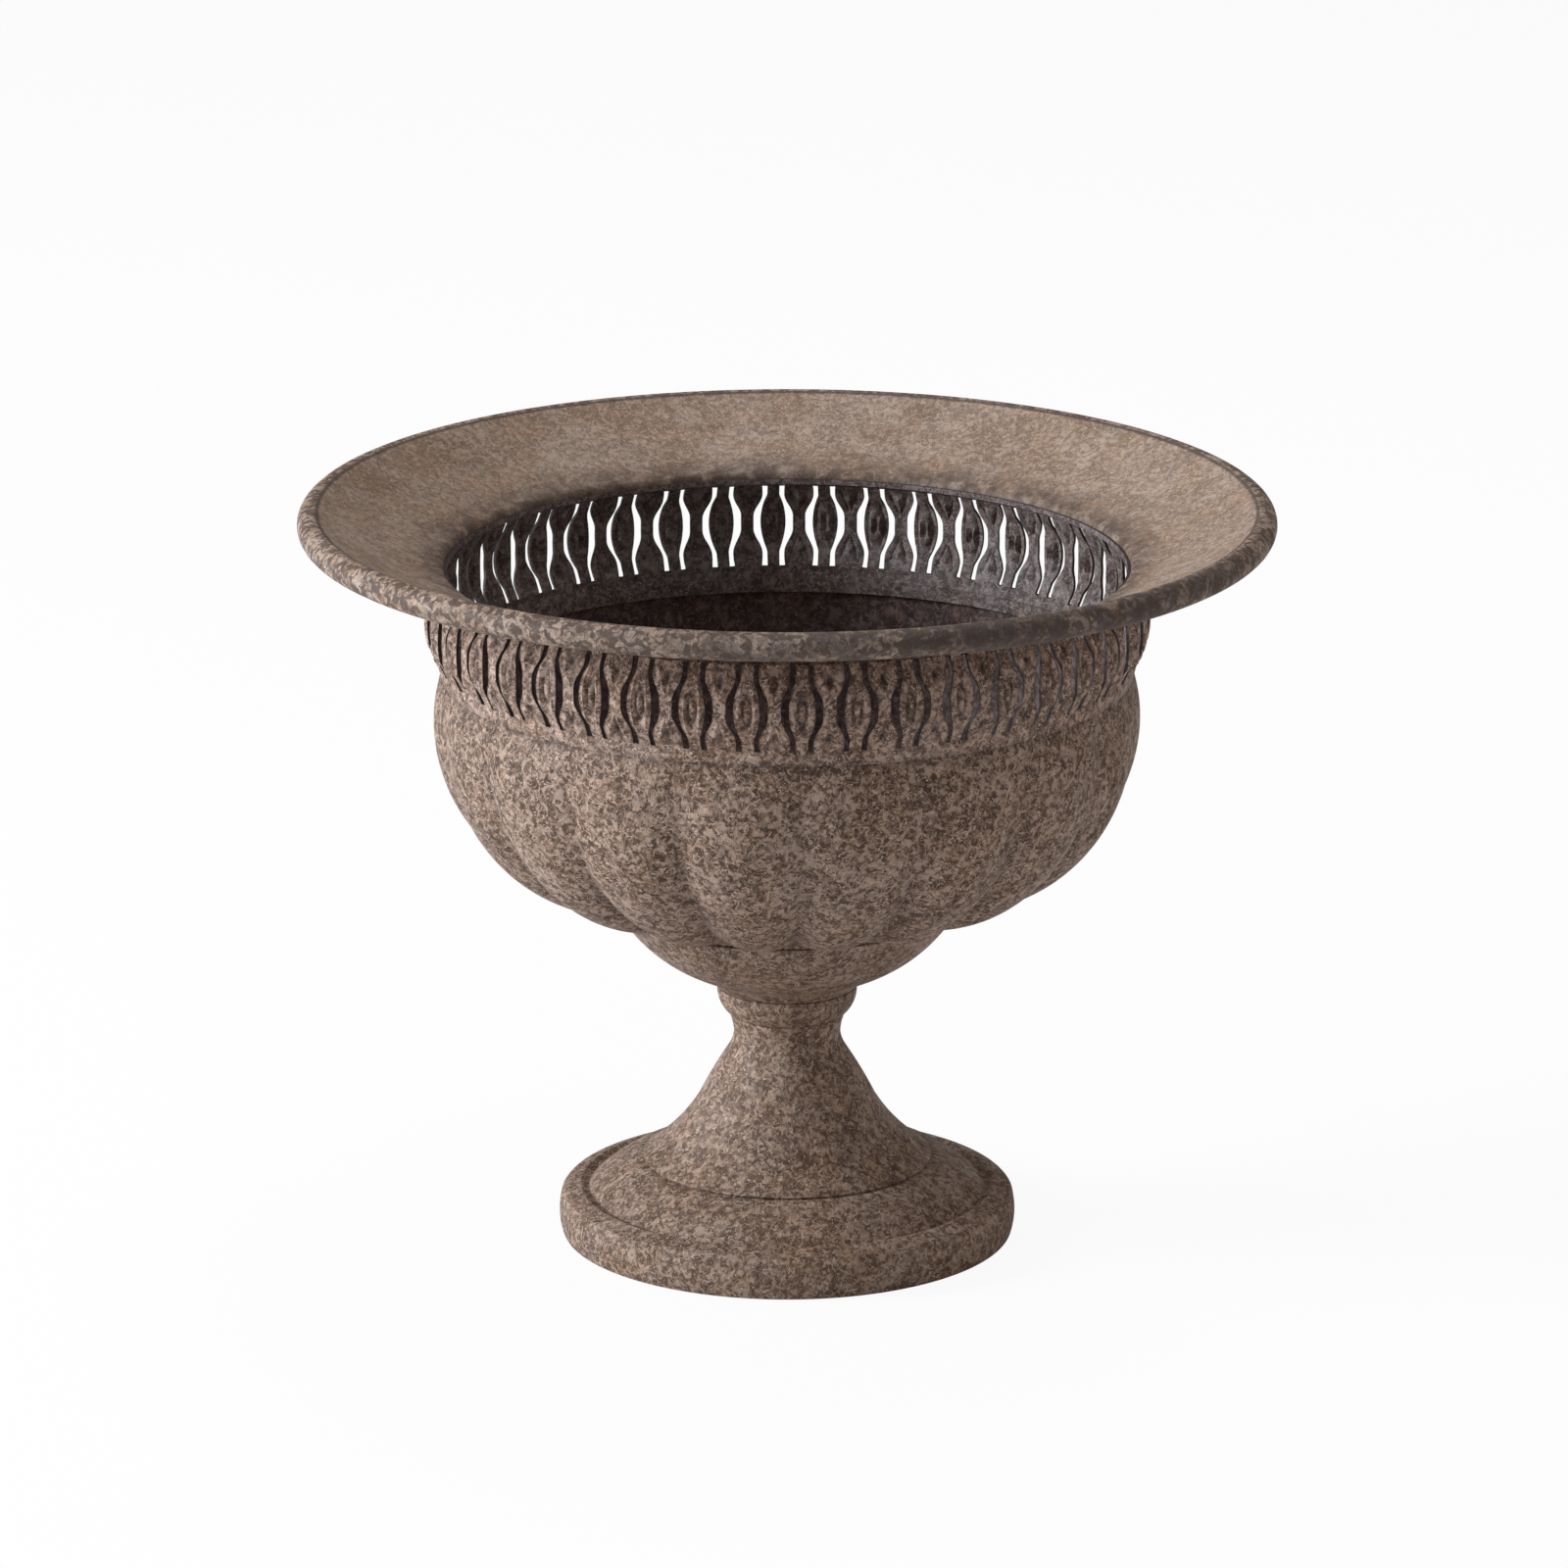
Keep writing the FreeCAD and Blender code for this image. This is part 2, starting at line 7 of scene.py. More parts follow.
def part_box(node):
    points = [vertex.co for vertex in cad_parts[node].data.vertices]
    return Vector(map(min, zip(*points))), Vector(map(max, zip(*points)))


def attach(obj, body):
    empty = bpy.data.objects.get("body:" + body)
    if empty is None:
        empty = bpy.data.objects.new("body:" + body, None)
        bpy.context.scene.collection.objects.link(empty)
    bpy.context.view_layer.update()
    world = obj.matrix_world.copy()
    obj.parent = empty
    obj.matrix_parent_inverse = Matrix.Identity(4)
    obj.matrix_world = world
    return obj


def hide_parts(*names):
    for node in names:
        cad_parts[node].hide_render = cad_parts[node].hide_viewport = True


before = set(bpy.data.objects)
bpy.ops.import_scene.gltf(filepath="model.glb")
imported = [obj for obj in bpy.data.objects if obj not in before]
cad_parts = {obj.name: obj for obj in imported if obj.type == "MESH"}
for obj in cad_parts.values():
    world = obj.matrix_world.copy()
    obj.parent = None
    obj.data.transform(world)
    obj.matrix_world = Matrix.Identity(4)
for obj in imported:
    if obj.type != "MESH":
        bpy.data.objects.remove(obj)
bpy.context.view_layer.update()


# ---- Camera -------------------------------------------------------------------------------
# A long lens, a little left of the front groove of the bowl and above the rim, looking down
# at the middle of the urn.
lens_length = 234.25
sensor_width = 36.0
look_down = radians(16.34)
look_turn = radians(-2.3)
look_distance = 4.2094
aim = Vector((-0.0013, 0, 0.1928))

eye_level = cos(look_down) * look_distance
camera_data = bpy.data.cameras.new("camera")
camera_data.lens = lens_length
camera_data.sensor_width = sensor_width
camera_data.clip_end = 50
camera = bpy.data.objects.new("camera", camera_data)
bpy.context.scene.collection.objects.link(camera)
camera.location = aim + Vector((
    eye_level * sin(look_turn), -eye_level * cos(look_turn), look_distance * sin(look_down)))
camera.rotation_euler = (pi / 2 - look_down, 0, look_turn)
bpy.context.scene.camera = camera
bpy.context.scene.view_settings.view_transform = "Standard"


# ---- Studio -------------------------------------------------------------------------------
# A white paper floor that runs out of sight, a tall soft box on the left, a weak one on the
# right and a veil of light from above.
floor_reach = 12.0
paper_white = (0.86, 0.85, 0.84, 1)
paper_glow = 0.93
soft_boxes = (
    # name, watts, size, place, point aimed at, color
    ("left_soft_box", 134, 1.3, (-2.9, -0.25, 1.35), (0, 0, 0.2), (0.86, 0.93, 1.0)),
    ("right_soft_box", 9, 1.4, (3.1, -0.2, 1.1), (0, 0, 0.2), (1.0, 0.89, 0.76)),
    ("top_veil", 16, 1.2, (0.1, 0.6, 2.6), (0, 0, 0.2), (1.0, 0.97, 0.93)),
)
room_light = 0.27

bpy.ops.mesh.primitive_plane_add(size=2 * floor_reach, location=(0, 0, 0))
paper_floor = bpy.context.object
paper_floor.name = "paper_floor"

paper = bpy.data.materials.new("white_paper")
paper.use_nodes = True
paper_nodes = paper.node_tree.nodes
paper_links = paper.node_tree.links
paper_face = paper_nodes["Principled BSDF"]
paper_face.inputs["Base Color"].default_value = paper_white
paper_face.inputs["Roughness"].default_value = 0.9
paper_shine = paper_nodes.new("ShaderNodeEmission")
paper_shine.inputs["Strength"].default_value = 1.0
paper_seen = paper_nodes.new("ShaderNodeLightPath")
paper_share = paper_nodes.new("ShaderNodeMath")
paper_share.operation = "MULTIPLY"
paper_share.inputs[1].default_value = paper_glow
paper_mix = paper_nodes.new("ShaderNodeMixShader")
paper_links.new(paper_seen.outputs["Is Camera Ray"], paper_share.inputs[0])
paper_links.new(paper_share.outputs[0], paper_mix.inputs["Fac"])
paper_links.new(paper_face.outputs["BSDF"], paper_mix.inputs[1])
paper_links.new(paper_shine.outputs["Emission"], paper_mix.inputs[2])
paper_links.new(paper_mix.outputs["Shader"], paper_nodes["Material Output"].inputs["Surface"])
paper_floor.data.materials.append(paper)

for box_name, watts, box_size, place, target, box_color in soft_boxes:
    light_data = bpy.data.lights.new(box_name, "AREA")
    light_data.energy = watts
    light_data.size = box_size
    light_data.color = box_color
    light = bpy.data.objects.new(box_name, light_data)
    bpy.context.scene.collection.objects.link(light)
    light.location = place
    light.rotation_euler = (Vector(target) - Vector(place)).to_track_quat("-Z", "Y").to_euler()

room = bpy.data.worlds.new("white_room")
bpy.context.scene.world = room
room.use_nodes = True
room_nodes = room.node_tree.nodes
room_links = room.node_tree.links
room_glow = room_nodes["Background"]
room_glow.inputs["Color"].default_value = (1, 1, 1, 1)
room_seen = room_nodes.new("ShaderNodeLightPath")
room_strength = room_nodes.new("ShaderNodeMapRange")
room_strength.inputs["To Min"].default_value = room_light
room_strength.inputs["To Max"].default_value = 1.0
room_links.new(room_seen.outputs["Is Camera Ray"], room_strength.inputs["Value"])
room_links.new(room_strength.outputs["Result"], room_glow.inputs["Strength"])


# ---- Foot ring ----------------------------------------------------------------------------
# The base is one pressing of thin steel: a hem on the floor, an upright skirt, a round brow,
# a fine ridge with a groove behind it, and a hollow curve up to the lap that carries the stem.
# Like the rest of the urn it is dabbed with paint in three tones so that it looks like stone.
sheet_gauge = 0.0012
lap_gap = 0.0001
profile_reach = 0.0022
smooth_angle = radians(42)
skirt_r = 0.0944
hem_r = skirt_r - 0.0006
hem_width = 0.0065
hem_round = 0.0014
skirt_top = 0.0142
brow_r = skirt_r - 0.0034
brow_top = skirt_top + 0.004
ridge_r = brow_r - 0.005
ridge_top = brow_top + 0.0018
groove_r = ridge_r - 0.0037
groove_bottom = ridge_top - 0.0013
shoulder_r = groove_r - 0.0209
shoulder_top = groove_bottom + 0.0132
lap_r = shoulder_r - 0.002
lap_slope = radians(36)
foot_lap = 0.007


def section_line(corners, reach):
    """The half-section through the corners, with a point at least every reach. A corner is
    (radius, height), or has the bulge of the arc that arrives there, positive to the left."""
    line = [Vector(corners[0][:2])]
    for corner in corners[1:]:
        here, there = line[-1].copy(), Vector(corner[:2])
        chord = there - here
        bulge = corner[2] if len(corner) == 3 else 0
        if bulge:
            side = Vector((-chord.y, chord.x)).normalized()
            radius = (chord.length ** 2 / 4 + bulge ** 2) / (2 * bulge)
            centre = (here + there) / 2 + side * (bulge - radius)
            turn = -4 * atan(2 * bulge / chord.length)
            steps = max(2, ceil(abs(radius * turn) / reach))
            for step in range(1, steps + 1):
                line.append(centre + Matrix.Rotation(turn * step / steps, 2) @ (here - centre))
        else:
            steps = max(1, ceil(chord.length / reach))
            line.extend(here + chord * step / steps for step in range(1, steps + 1))
    return line


def deselect_all():
    """Nothing is left selected, so that an operator acts on the new piece alone."""
    if bpy.context.object and bpy.context.object.mode == "EDIT":
        bpy.ops.object.mode_set(mode="OBJECT")
    bpy.ops.object.select_all(action="DESELECT")


def flip_faces():
    """Turns every face of the piece in hand the other way round."""
    bpy.ops.object.mode_set(mode="EDIT")
    bpy.ops.mesh.select_all(action="SELECT")
    bpy.ops.mesh.flip_normals()
    bpy.ops.object.mode_set(mode="OBJECT")


def face_right_way(piece, line, shown_left):
    """Turns a spun skin so that its faces look away from the side that gets the wall."""
    along = line[1] - line[0]
    outward = Vector((-along.y, 0, along.x)) if shown_left else Vector((along.y, 0, -along.x))
    middle = (line[0] + line[1]) / 2
    nearest = min(piece.data.polygons, key=lambda face: (
        face.center - Vector((middle.x, 0, middle.y))).length)
    if nearest.normal.dot(outward) < 0:
        flip_faces()


def spin_sheet(name, line, steps, shown_left=False):
    """A skin spun round the axis of the urn from a half-section, as a sheet is spun on a lathe."""
    deselect_all()
    bpy.ops.mesh.primitive_plane_add(size=0.001, location=(0, 0, 0))
    piece = bpy.context.object
    piece.name = name
    piece.data.name = name
    bpy.ops.object.mode_set(mode="EDIT")
    bpy.ops.mesh.merge(type="CENTER")
    bpy.ops.transform.translate(value=(line[0].x, 0, line[0].y))
    for here, there in zip(line, line[1:]):
        bpy.ops.mesh.extrude_region_move(
            TRANSFORM_OT_translate={"value": (there.x - here.x, 0, there.y - here.y)})
    bpy.ops.mesh.select_all(action="SELECT")
    bpy.ops.mesh.spin(
        steps=steps, angle=2 * pi, center=(0, 0, 0), axis=(0, 0, 1), use_auto_merge=True)
    bpy.ops.mesh.select_all(action="SELECT")
    bpy.ops.mesh.remove_doubles(threshold=0.000002)
    bpy.ops.mesh.normals_make_consistent(inside=False)
    bpy.ops.object.mode_set(mode="OBJECT")
    face_right_way(piece, line, shown_left)
    return piece


def apply_modifiers(piece):
    """Makes each modifier of the piece part of its mesh, in order."""
    bpy.context.view_layer.objects.active = piece
    for modifier in list(piece.modifiers):
        bpy.ops.object.modifier_apply(modifier=modifier.name)


def add_wall(piece):
    """Lays the thickness of the sheet behind the shown side of a skin."""
    wall = piece.modifiers.new("wall", "SOLIDIFY")
    wall.thickness = sheet_gauge
    wall.offset = -1
    wall.use_even_offset = True
    return wall


def give_wall(piece, edge_round=0.0005):
    """Makes a skin a sheet with its thickness and with eased edges."""
    add_wall(piece)
    ease = piece.modifiers.new("eased_edges", "BEVEL")
    ease.width = edge_round
    ease.segments = 2
    ease.limit_method = "ANGLE"
    ease.angle_limit = radians(24)
    apply_modifiers(piece)
    bpy.ops.object.shade_smooth_by_angle(angle=smooth_angle)


def add_node(coat, kind, sockets, **settings):
    """A new node in the paint of a coat, its sockets set to numbers or joined to outputs."""
    node = coat.node_tree.nodes.new(kind)
    for name, value in settings.items():
        setattr(node, name, value)
    for socket, value in sockets.items():
        if isinstance(value, bpy.types.NodeSocket):
            coat.node_tree.links.new(value, node.inputs[socket])
        else:
            node.inputs[socket].default_value = value
    return node


def place_on(coat):
    """Where a point of the coat lies on the urn."""
    return coat.node_tree.nodes["Texture Coordinate"].outputs["Object"]


def noise(coat, breadth, detail, distortion):
    """A soft random pattern whose blots are about as wide as the breadth."""
    return add_node(coat, "ShaderNodeTexNoise", {
        "Vector": place_on(coat), "Scale": 1 / breadth, "Detail": detail, "Distortion": distortion,
    }).outputs["Fac"]


def stretch(coat, value, low, high, new_low=0.0, new_high=1.0):
    """The value spread from one range to another and held to the ends of the new one."""
    return add_node(coat, "ShaderNodeMapRange", {
        "Value": value, "From Min": low, "From Max": high, "To Min": new_low, "To Max": new_high,
    }).outputs["Result"]


def combine(coat, way, first, second):
    """Two values as one, by a way of arithmetic."""
    return add_node(coat, "ShaderNodeMath", {0: first, 1: second}, operation=way).outputs[0]


def blend(coat, share, under, over):
    """One tone laid over another by a share."""
    return add_node(coat, "ShaderNodeMix", {
        "Factor": share, "A": under, "B": over,
    }, data_type="RGBA").outputs["Result"]


def wash_and_shade(coat, share, tone):
    """A thin tone laid over all that the coat has so far. It serves for a wash and for painted
    shade.
    """
    color = coat.node_tree.nodes["Principled BSDF"].inputs["Base Color"]
    coat.node_tree.links.new(blend(coat, share, color.links[0].from_socket, tone), color)


def off_line(coat, value):
    """How far a pattern is from its middle value, which runs over the urn as winding lines."""
    return combine(coat, "ABSOLUTE", combine(coat, "SUBTRACT", value, 0.5), 0.0)


def stone_paint(name, pale, mid, dark, grain=0.0027, contrast=1.0, relief=1.0):
    """Three tones of flat paint, dabbed with a sponge over a thick grainy ground coat, so that
    short worms of pale and dark lie side by side. Grain is the breadth of one dab."""
    coat = bpy.data.materials.new(name)
    coat.use_nodes = True
    coat.node_tree.nodes.new("ShaderNodeTexCoord")
    face = coat.node_tree.nodes["Principled BSDF"]
    face.inputs["Specular IOR Level"].default_value = 0.3

    clouds = stretch(coat, noise(coat, 0.05, 4, 0.6), 0.38, 0.64, 0, 0.35)
    patches = stretch(coat, noise(coat, 0.012, 4, 0.8), 0.42, 0.64, 0, 0.6)
    warm_patches = stretch(coat, noise(coat, 0.026, 4, 0.7), 0.42, 0.62, 0, 0.75)
    warm = (0.92 * mid[0], 0.76 * mid[1], 0.56 * mid[2], 1)
    dabs = noise(coat, grain, 2.0, 0.8)
    pale_thread = off_line(coat, noise(coat, 1.15 * grain, 1.0, 1.3))
    dark_thread = off_line(coat, noise(coat, 0.95 * grain, 1.0, 1.1))
    tone = blend(coat, warm_patches, blend(coat, clouds, mid, pale), warm)
    tone = blend(coat, patches, tone, dark)
    tone = blend(coat, stretch(coat, dabs, 0.40, 0.52, 0.80 * contrast, 0), tone, dark)
    tone = blend(coat, stretch(coat, dark_thread, 0.005, 0.034, 0.75 * contrast, 0), tone, dark)
    tone = blend(coat, stretch(coat, dabs, 0.53, 0.64, 0, 0.55 * contrast), tone, pale)
    tone = blend(coat, stretch(coat, pale_thread, 0.006, 0.032, 0.95 * contrast, 0), tone, pale)
    coat.node_tree.links.new(tone, face.inputs["Base Color"])
    coat.node_tree.links.new(stretch(coat, patches, 0, 0.6, 0.56, 0.74), face.inputs["Roughness"])

    ground = combine(coat, "ADD", dabs, stretch(coat, pale_thread, 0.010, 0.050, 0.4, 0))
    dents = add_node(coat, "ShaderNodeBump", {
        "Strength": 0.6 * relief, "Distance": 0.0006, "Height": ground})
    coat.node_tree.links.new(dents.outputs["Normal"], face.inputs["Normal"])
    return coat


foot_pale = (0.49, 0.355, 0.275, 1)
foot_mid = (0.25, 0.166, 0.122, 1)
foot_dark = (0.078, 0.044, 0.029, 1)

foot_line = section_line([
    (hem_r - hem_width, 0),
    (hem_r - hem_round, 0),
    (hem_r, hem_round, -hem_round * (1 - cos(pi / 4))),
    (skirt_r, skirt_top, -0.0008),
    (brow_r, brow_top, -0.0011),
    (ridge_r, ridge_top),
    (groove_r, groove_bottom),
    (shoulder_r, shoulder_top, -0.0014),
    (lap_r, shoulder_top),
    (lap_r - foot_lap * cos(lap_slope), shoulder_top + foot_lap * sin(lap_slope)),
], profile_reach)
foot_shell = spin_sheet("foot_shell", foot_line, 192)
give_wall(foot_shell)
foot_paint = stone_paint("foot_stone_paint", foot_pale, foot_mid, foot_dark)
foot_shell.data.materials.append(foot_paint)
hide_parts("foot_ring")
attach(foot_shell, "root")


# ---- Stem ---------------------------------------------------------------------------------
# A trumpet spun from one disc. Its wide end laps on the foot ring and is soldered there from
# below; its narrow end is a straight collar for the plate that takes the bolt.
stem_top = max(Vector(corner).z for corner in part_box("stem"))
wall_step = sheet_gauge + lap_gap
stem_lap = 0.006
stem_foot_r = lap_r + wall_step * sin(lap_slope)
stem_foot = shoulder_top + wall_step * cos(lap_slope)
flare_foot = stem_foot + stem_lap * sin(lap_slope)
neck_level = stem_top - 0.0085
collar_r = 0.0234

stem_line = section_line([
    (stem_foot_r, stem_foot),
    (stem_foot_r - stem_lap * cos(lap_slope), flare_foot),
    (0.037, flare_foot + 0.021, 0.0012),
    (0.0244, neck_level - 0.0065, -0.0004),
    (0.0221, neck_level, 0.0004),
    (collar_r, stem_top - 0.0015, 0.0003),
    (collar_r, stem_top),
], profile_reach)
stem_shell = spin_sheet("stem_shell", stem_line, 144)
give_wall(stem_shell)
stem_paint = stone_paint("stem_stone_paint", foot_pale, foot_mid, foot_dark)
stem_shell.data.materials.append(stem_paint)
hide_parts("stem")
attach(stem_shell, "root")


# ---- Bolt, nut, washers and stem plate ----------------------------------------------------
# A plated steel bolt through the middle clamps the bowl, cup and knop to a plate in the top of
# the stem. They are turned and stamped parts that stay bare, with a rubber seal in the bowl.
zinc = bpy.data.materials.new("zinc_plate")
zinc.use_nodes = True
zinc_nodes = zinc.node_tree.nodes
zinc_links = zinc.node_tree.links
zinc_face = zinc_nodes["Principled BSDF"]
zinc_face.inputs["Metallic"].default_value = 1.0
zinc_face.inputs["Roughness"].default_value = 0.38
zinc_place = zinc_nodes.new("ShaderNodeTexCoord")
zinc_spangle = zinc_nodes.new("ShaderNodeTexVoronoi")
zinc_spangle.inputs["Scale"].default_value = 420
zinc_tones = zinc_nodes.new("ShaderNodeValToRGB")
zinc_tones.color_ramp.elements[0].color = (0.34, 0.35, 0.36, 1)
zinc_tones.color_ramp.elements[1].color = (0.66, 0.67, 0.66, 1)
zinc_links.new(zinc_place.outputs["Object"], zinc_spangle.inputs["Vector"])
zinc_links.new(zinc_spangle.outputs["Color"], zinc_tones.inputs["Fac"])
zinc_links.new(zinc_tones.outputs["Color"], zinc_face.inputs["Base Color"])

seal_rubber = bpy.data.materials.new("seal_rubber")
seal_rubber.use_nodes = True
rubber_nodes = seal_rubber.node_tree.nodes
rubber_links = seal_rubber.node_tree.links
rubber_face = rubber_nodes["Principled BSDF"]
rubber_face.inputs["Roughness"].default_value = 0.7
rubber_place = rubber_nodes.new("ShaderNodeTexCoord")
rubber_dust = rubber_nodes.new("ShaderNodeTexNoise")
rubber_dust.inputs["Scale"].default_value = 260
rubber_dust.inputs["Detail"].default_value = 4
rubber_tones = rubber_nodes.new("ShaderNodeValToRGB")
rubber_tones.color_ramp.elements[0].color = (0.012, 0.012, 0.012, 1)
rubber_tones.color_ramp.elements[1].color = (0.07, 0.065, 0.06, 1)
rubber_links.new(rubber_place.outputs["Object"], rubber_dust.inputs["Vector"])
rubber_links.new(rubber_dust.outputs["Fac"], rubber_tones.inputs["Fac"])
rubber_links.new(rubber_tones.outputs["Color"], rubber_face.inputs["Base Color"])

for node in (
        "stem_plate", "center_bolt", "bowl_washer", "stem_washer", "lock_washer", "center_nut"):
    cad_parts[node].data.materials.clear()
    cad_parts[node].data.materials.append(zinc)
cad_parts["seal_washer"].data.materials.clear()
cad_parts["seal_washer"].data.materials.append(seal_rubber)


# ---- Knop ---------------------------------------------------------------------------------
# The bead between stem and cup is a hollow spun drum with round sides. Its floor sits on the
# stem's collar, and its top carries the cup.
knop_low, knop_high = (Vector(corner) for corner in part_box("knop"))
knop_r = 0.029
bolt_hole_r = 0.0043

knop_line = section_line([
    (bolt_hole_r, knop_low.z),
    (collar_r + lap_gap, knop_low.z),
    (knop_r, knop_high.z, -0.0017),
    (bolt_hole_r, knop_high.z),
], 0.0018)
knop_shell = spin_sheet("knop_shell", knop_line, 96)
give_wall(knop_shell, 0.0008)
knop_paint = stone_paint("knop_stone_paint", foot_pale, foot_mid, foot_dark)
knop_shell.data.materials.append(knop_paint)
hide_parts("knop")
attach(knop_shell, "root")


# ---- Lower cup ----------------------------------------------------------------------------
# A spun calyx that holds the underside of the bowl: flat on the knop, hollow at its neck, and
# round up to a plain edge against the lobes.
cup_foot = min(Vector(corner).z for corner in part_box("lower_cup"))
cup_floor_r = knop_r - 0.0006
cup_neck_r = knop_r + 0.0096
cup_neck_top = cup_foot + 0.007
cup_rim_r = 0.072
cup_rim = cup_neck_top + 0.0294

cup_corners = [
    (bolt_hole_r, cup_foot),
    (cup_floor_r, cup_foot),
    (cup_neck_r, cup_neck_top, 0.0006),
    (cup_rim_r, cup_rim, -0.0039),
]
cup_line = section_line(cup_corners, profile_reach)
cup_shell = spin_sheet("cup_shell", cup_line, 144)
give_wall(cup_shell)
cup_paint = stone_paint("cup_stone_paint", foot_pale, foot_mid, foot_dark)
cup_shell.data.materials.append(cup_paint)
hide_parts("lower_cup")
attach(cup_shell, "root")


# ---- Lobed bowl ---------------------------------------------------------------------------
# The bowl is drawn from one sheet with eighteen round lobes. The valleys between them are
# sharp, deepest low on the wall, and die out at the cup and under the band.
lobe_count = 18
lobe_pitch = 2 * pi / lobe_count
valley_depth = 0.006
bowl_round_r = 0.063
waist_r = 0.1423
widest_r = waist_r + 0.0032
widest_level = cup_rim + 0.0785
waist_level = widest_level + 0.020
across_count = 18
round_share = 0.8

well_corners = [
    (bolt_hole_r, cup_foot + wall_step),
    (cup_floor_r - 0.0007, cup_foot + wall_step),
    (cup_neck_r - 0.0009, cup_neck_top + 0.0010, 0.0006),
    (cup_rim_r - 0.0007, cup_rim + 0.0011, -0.0039),
]
well_line = section_line(well_corners, 0.004)
wall_steps = 54
edge_reach = (well_line[-1].x - bowl_round_r) / (widest_r - bowl_round_r)
ellipse_drop = (widest_level - well_line[-1].y) / sqrt(1 - edge_reach ** 2)


def lobe_crest(share):
    """The crest of a lobe at a share of the way from the well to the waist, and its normal."""
    if share < round_share:
        turn = acos(edge_reach) * (1 - share / round_share)
        reach = widest_r - bowl_round_r
        point = Vector((bowl_round_r + reach * cos(turn), widest_level - ellipse_drop * sin(turn)))
        normal = Vector((cos(turn) / reach, -sin(turn) / ellipse_drop))
    else:
        climb = (share - round_share) / (1 - round_share)
        rise, inset = waist_level - widest_level, widest_r - waist_r
        point = Vector((widest_r - inset * climb ** 2, widest_level + rise * climb))
        normal = Vector((rise, 2 * inset * climb))
    return point, normal.normalized()


def swell(value, low, high):
    """Rises smoothly from 0 at low to 1 at high."""
    share = min(1, max(0, (value - low) / (high - low)))
    return share * share * (3 - 2 * share)


def valley_share(share):
    """How deep a valley is there, as a share of its full depth."""
    spread = share ** 0.6
    return 4 * spread * (1 - spread)


def flat_skin(name, columns, rows):
    """A flat grid, to be bent to shape by its columns and rows, with its marks for dark wash and
    painted shade.
    """
    deselect_all()
    bpy.ops.mesh.primitive_grid_add(
        x_subdivisions=columns, y_subdivisions=rows, size=2, location=(0, 0, 0))
    piece = bpy.context.object
    piece.name = name
    piece.data.name = name
    return piece, piece.data.attributes.new("wash_and_shade", "FLOAT", "POINT")


def repeat_round(count):
    """Copies one part of a ring round the axis of the urn and joins the copies."""
    bpy.ops.object.mode_set(mode="EDIT")
    bpy.ops.mesh.select_all(action="SELECT")
    bpy.ops.mesh.spin(
        steps=count - 1, dupli=True, angle=2 * pi - 2 * pi / count,
        center=(0, 0, 0), axis=(0, 0, 1))
    bpy.ops.mesh.select_all(action="SELECT")
    bpy.ops.mesh.remove_doubles(threshold=0.00001)
    bpy.ops.mesh.normals_make_consistent(inside=False)
    bpy.ops.object.mode_set(mode="OBJECT")


# Painted shade with a dark wash: the valleys are darkened, most low on the wall and at their ends
# by the cup's edge, where the gap under the cup is in shade. The top rows get a dark line at the
# joint with the band.
bowl_rows = [(point, Vector((0, -1)), 0, 0) for point in well_line]
for step in range(1, wall_steps + 1):
    point, normal = lobe_crest(step / wall_steps)
    shade_and_wash_share = 0.3 * valley_share(step / wall_steps) + 0.6 * (1 - swell(step / wall_steps, 0.03, 0.12))
    bowl_rows.append((point, normal, valley_depth * valley_share(step / wall_steps), shade_and_wash_share))

bowl_shell, bowl_shade_and_wash = flat_skin("bowl_shell", across_count, len(bowl_rows) - 1)
for vertex in bowl_shell.data.vertices:
    across = vertex.co.x
    row = round((vertex.co.y + 1) / 2 * (len(bowl_rows) - 1))
    point, normal, sink, shade_and_wash_share = bowl_rows[row]
    seam = 0.45 * swell(point.y, waist_level - 0.0034, waist_level)
    bowl_shade_and_wash.data[vertex.index].value = max(shade_and_wash_share * swell(abs(across), 0.7, 1), seam)
    place = point - normal * sink * across ** 2
    angle = -pi / 2 + (1 + across) * lobe_pitch / 2
    vertex.co = (place.x * cos(angle), place.x * sin(angle), place.y)
repeat_round(lobe_count)
lowest_face = min(bowl_shell.data.polygons, key=lambda face: face.center.z)
if lowest_face.normal.z > 0:
    flip_faces()

# Dark umber for the painted shade and dark wash in the hollows and along the rim's crease.
umber_wash_and_shade = (0.030, 0.019, 0.016, 1)


def shade_and_wash_hollows(coat, strength):
    """Painted shade, with a dark wash, laid patchily in the hollows that the skin has marked for
    it.
    """
    marked = add_node(coat, "ShaderNodeAttribute", {}, attribute_name="wash_and_shade").outputs["Fac"]
    patchiness = stretch(coat, noise(coat, 0.004, 3, 0.6), 0.36, 0.56, 0.45, 1)
    share = combine(coat, "MULTIPLY", stretch(coat, marked, 0, 1, 0, strength), patchiness)
    wash_and_shade(coat, share, umber_wash_and_shade)


bowl_paint = stone_paint(
    "bowl_stone_paint", (0.51, 0.365, 0.285, 1), (0.24, 0.156, 0.114, 1), (0.064, 0.035, 0.022, 1),
    contrast=1.12)
shade_and_wash_hollows(bowl_paint, 0.9)
inside_paint = stone_paint(
    "inside_umber_paint", (0.27, 0.190, 0.175, 1), (0.125, 0.084, 0.078, 1),
    (0.045, 0.028, 0.026, 1), 0.004, 0.8, 0.6)
bowl_shell.data.materials.append(bowl_paint)
bowl_shell.data.materials.append(inside_paint)
bowl_wall = add_wall(bowl_shell)
bowl_wall.material_offset = 1
bowl_wall.material_offset_rim = 1
apply_modifiers(bowl_shell)
bpy.ops.object.shade_smooth_by_angle(angle=smooth_angle)
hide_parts("lobed_bowl")
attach(bowl_shell, "root")


